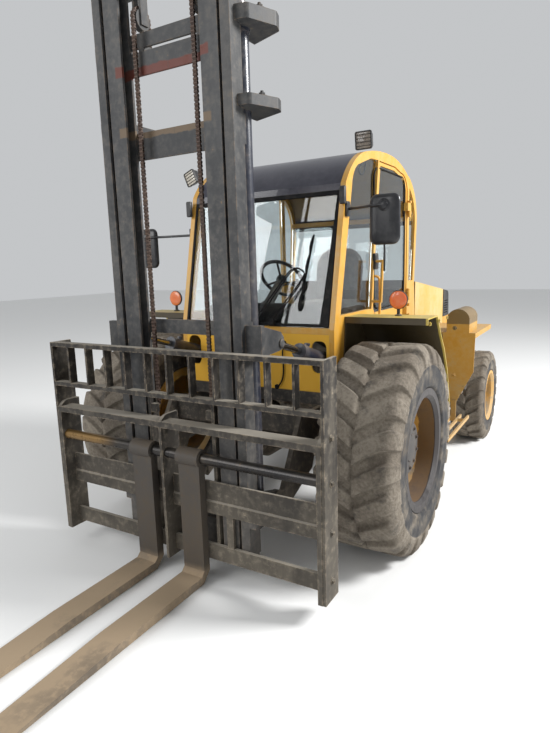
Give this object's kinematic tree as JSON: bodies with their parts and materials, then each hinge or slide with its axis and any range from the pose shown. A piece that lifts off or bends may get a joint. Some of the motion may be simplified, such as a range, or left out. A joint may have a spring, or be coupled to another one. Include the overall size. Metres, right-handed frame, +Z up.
{
  "type": "rough terrain forklift",
  "caption": "Rough terrain forklift with a two-stage mast, shaft-hung forks and load backrest, rounded glazed cab, engine hood and steered rear axle on lugged tyres.",
  "frame": {"origin": "on the ground under the middle of the overall length and width", "axes": "+X to the machine's left, +Y towards its rear (counterweight), +Z up; the forks point along -Y"},
  "size_m": [2.3, 5.101, 3.203],
  "materials": {
    "tyre": "dusty lugged rubber",
    "rim_paint": "yellow enamel, dusty",
    "frame_paint": "dark chassis paint, dusty",
    "axle_iron": "cast housing, oily and dusty",
    "polished_rod": "hard chromed rod",
    "body_paint": "yellow enamel with ordinary wear",
    "engine_iron": "cast block, oily",
    "grille_black": "black slats",
    "mast_paint": "dark grey with scratches, rust and grease",
    "barrel_paint": "dark painted tube",
    "worn_steel": "worn bare steel",
    "chain_steel": "greased leaf chain",
    "shaft_steel": "worn bare steel, rusty ends",
    "backrest_paint": "dark grey, scratched",
    "fork_steel": "worn forged steel, thin rust",
    "cab_dark": "dark enamel",
    "roof_paint": "dark gloss enamel",
    "glass": "clear tempered glass, dusty",
    "door_paint": "yellow enamel",
    "seat_vinyl": "dark grey vinyl",
    "black_plastic": "black moulded plastic",
    "deck_paint": "yellow enamel, dusty treads",
    "tank_paint": "dark tank paint",
    "lamp_plastic": "black housings with lenses"
  },
  "bodies": {
    "chassis": {"frame": "frame_paint", "front_axle": "axle_iron", "rear_axle": "axle_iron", "counterweight": "body_paint", "engine": "engine_iron", "radiator_grille": "grille_black", "bay_sides": "body_paint", "cab_frame": "body_paint", "cab_tub": "cab_dark", "cab_roof": "roof_paint", "cab_glass": "glass", "seat": "seat_vinyl", "steering_column": "black_plastic", "front_fenders": "body_paint", "side_decks": "deck_paint", "tanks": "tank_paint", "lamps": "lamp_plastic", "mirrors": "black_plastic"},
    "hood": {"hood": "body_paint"},
    "door": {"cab_door": "door_paint", "door_glass": "glass"},
    "mast_outer": {"mast_outer": "mast_paint", "lift_barrels": "barrel_paint"},
    "mast_inner": {"mast_inner": "mast_paint", "lift_rods": "polished_rod", "lift_chains": "chain_steel", "sheaves": "worn_steel"},
    "carriage": {"carriage": "mast_paint", "backrest": "backrest_paint", "fork_shaft": "shaft_steel"},
    "fork_left": {"fork_left": "fork_steel"},
    "fork_right": {"fork_right": "fork_steel"},
    "tilt_barrel_left": {"tilt_barrel_left": "barrel_paint"},
    "tilt_barrel_right": {"tilt_barrel_right": "barrel_paint"},
    "tilt_rod_left": {"tilt_rod_left": "polished_rod"},
    "tilt_rod_right": {"tilt_rod_right": "polished_rod"},
    "knuckle_left": {"knuckle_left": "axle_iron"},
    "knuckle_right": {"knuckle_right": "axle_iron"},
    "steer_rod": {"steer_rod": "polished_rod"},
    "wheel_front_left": {"tyre_front_left": "tyre", "rim_front_left": "rim_paint"},
    "wheel_front_right": {"tyre_front_right": "tyre", "rim_front_right": "rim_paint"},
    "wheel_rear_left": {"tyre_rear_left": "tyre", "rim_rear_left": "rim_paint"},
    "wheel_rear_right": {"tyre_rear_right": "tyre", "rim_rear_right": "rim_paint"}
  },
  "joints": [
    {"name": "mast_tilt", "type": "hinge", "parent": "chassis", "child": "mast_outer", "pos_m": [0, -0.9995, 0.42], "axis": [1, 0, 0], "range_deg": [-10, 10]},
    {"name": "mast_lift", "type": "slide", "parent": "mast_outer", "child": "mast_inner", "axis": [0, 0, 1], "range_m": [0, 2.1]},
    {"name": "carriage_lift", "type": "slide", "parent": "mast_inner", "child": "carriage", "axis": [0, 0, 1], "range_m": [0, 2.1]},
    {"name": "fork_left_shift", "type": "slide", "parent": "carriage", "child": "fork_left", "axis": [1, 0, 0], "range_m": [-0.088, 0.688]},
    {"name": "fork_right_shift", "type": "slide", "parent": "carriage", "child": "fork_right", "axis": [1, 0, 0], "range_m": [-0.561, 0.075]},
    {"name": "tilt_barrel_left_swing", "type": "hinge", "parent": "chassis", "child": "tilt_barrel_left", "pos_m": [0.48, -0.1795, 1.053], "axis": [1, 0, 0], "range_deg": [-4, 4]},
    {"name": "tilt_rod_left_slide", "type": "slide", "parent": "tilt_barrel_left", "child": "tilt_rod_left", "axis": [0, -0.9562, 0.2928], "range_m": [-0.16, 0.16]},
    {"name": "tilt_barrel_right_swing", "type": "hinge", "parent": "chassis", "child": "tilt_barrel_right", "pos_m": [-0.48, -0.1795, 1.053], "axis": [1, 0, 0], "range_deg": [-4, 4]},
    {"name": "tilt_rod_right_slide", "type": "slide", "parent": "tilt_barrel_right", "child": "tilt_rod_right", "axis": [0, -0.9562, 0.2928], "range_m": [-0.16, 0.16]},
    {"name": "steer_left", "type": "hinge", "parent": "chassis", "child": "knuckle_left", "pos_m": [0.69, 2.0005, 0.424], "axis": [0, 0, 1], "range_deg": [-32, 32]},
    {"name": "steer_right", "type": "hinge", "parent": "chassis", "child": "knuckle_right", "pos_m": [-0.69, 2.0005, 0.424], "axis": [0, 0, 1], "range_deg": [-32, 32]},
    {"name": "steer_rod_slide", "type": "slide", "parent": "chassis", "child": "steer_rod", "axis": [1, 0, 0], "range_m": [-0.09, 0.09]},
    {"name": "wheel_front_left_spin", "type": "hinge", "parent": "chassis", "child": "wheel_front_left", "pos_m": [0.895, -0.3995, 0.623], "axis": [1, 0, 0], "continuous": true},
    {"name": "wheel_front_right_spin", "type": "hinge", "parent": "chassis", "child": "wheel_front_right", "pos_m": [-0.895, -0.3995, 0.623], "axis": [1, 0, 0], "continuous": true},
    {"name": "wheel_rear_left_spin", "type": "hinge", "parent": "knuckle_left", "child": "wheel_rear_left", "pos_m": [0.93, 2.0005, 0.424], "axis": [1, 0, 0], "continuous": true},
    {"name": "wheel_rear_right_spin", "type": "hinge", "parent": "knuckle_right", "child": "wheel_rear_right", "pos_m": [-0.93, 2.0005, 0.424], "axis": [1, 0, 0], "continuous": true},
    {"name": "door_swing", "type": "hinge", "parent": "chassis", "child": "door", "pos_m": [0.598, 0.9065, 1.7], "axis": [0, 0, 1], "range_deg": [0, 70]},
    {"name": "hood_lift", "type": "hinge", "parent": "chassis", "child": "hood", "pos_m": [0, 2.2005, 1.432], "axis": [-1, 0, 0], "range_deg": [0, 55]}
  ],
  "couplings": [
    {"joint": "carriage_lift", "follows": "mast_lift", "ratio": 1},
    {"joint": "tilt_barrel_left_swing", "follows": "mast_tilt", "ratio": 0.326},
    {"joint": "tilt_barrel_right_swing", "follows": "mast_tilt", "ratio": 0.326},
    {"joint": "tilt_rod_left_slide", "follows": "mast_tilt", "m_per_rad": 0.845},
    {"joint": "tilt_rod_right_slide", "follows": "mast_tilt", "m_per_rad": 0.845},
    {"joint": "steer_right", "follows": "steer_left", "ratio": 1},
    {"joint": "steer_rod_slide", "follows": "steer_left", "m_per_rad": -0.145}
  ]
}
